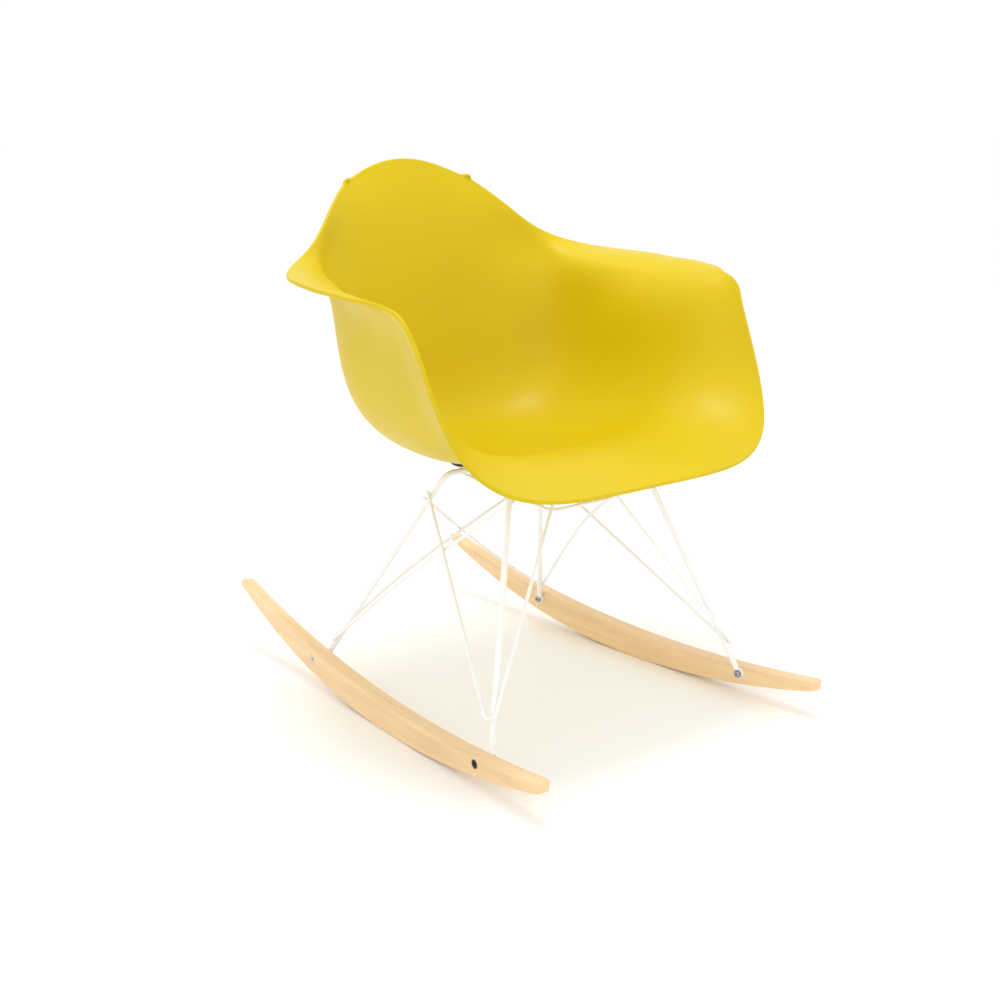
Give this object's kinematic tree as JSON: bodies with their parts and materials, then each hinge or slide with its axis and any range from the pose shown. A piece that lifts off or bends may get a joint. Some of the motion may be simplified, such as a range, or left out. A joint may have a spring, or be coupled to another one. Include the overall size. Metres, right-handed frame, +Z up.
{
  "type": "rocking chair",
  "caption": "Rocking armchair: a one-piece bucket shell on a base of bent rods and thin braces, bolted to two curved wooden runners.",
  "frame": {"origin": "on the floor, under the centre of the chair's overall box", "axes": "+Z up, +X across the chair towards the sitter's left hand, -Y the way the chair faces"},
  "size_m": [0.5928, 0.7152, 0.6934],
  "materials": {
    "shell": "satin, mustard yellow",
    "frame": "white powder coat",
    "runner": "light maple, satin lacquer",
    "rubber_mount": "matt black",
    "insert": "plain",
    "screw": "zinc plated",
    "washer": "zinc plated",
    "bolt": "polished",
    "barrel_front": "black oxide",
    "barrel_rear": "plain"
  },
  "bodies": {
    "root": {"barrel_nut_front_left": "barrel_front", "barrel_nut_front_right": "barrel_front", "barrel_nut_rear_left": "barrel_rear", "barrel_nut_rear_right": "barrel_rear", "front_leg_arch": "frame", "mount_plate_front_left": "frame", "mount_plate_front_right": "frame", "mount_plate_rear_left": "frame", "mount_plate_rear_right": "frame", "rear_brace_left": "frame", "rear_brace_right": "frame", "rear_leg_arch": "frame", "rubber_mount_front_left": "rubber_mount", "rubber_mount_front_right": "rubber_mount", "rubber_mount_rear_left": "rubber_mount", "rubber_mount_rear_right": "rubber_mount", "runner_bolt_front_left": "bolt", "runner_bolt_front_right": "bolt", "runner_bolt_rear_left": "bolt", "runner_bolt_rear_right": "bolt", "runner_left": "runner", "runner_right": "runner", "runner_washer_front_left": "washer", "runner_washer_front_right": "washer", "runner_washer_rear_left": "washer", "runner_washer_rear_right": "washer", "seat_inserts": "insert", "seat_rail": "frame", "seat_screw_washers": "washer", "seat_screws": "screw", "seat_shell": "shell", "side_brace_left": "frame", "side_brace_right": "frame", "vee_brace_left": "frame", "vee_brace_right": "frame"}
  },
  "joints": []
}
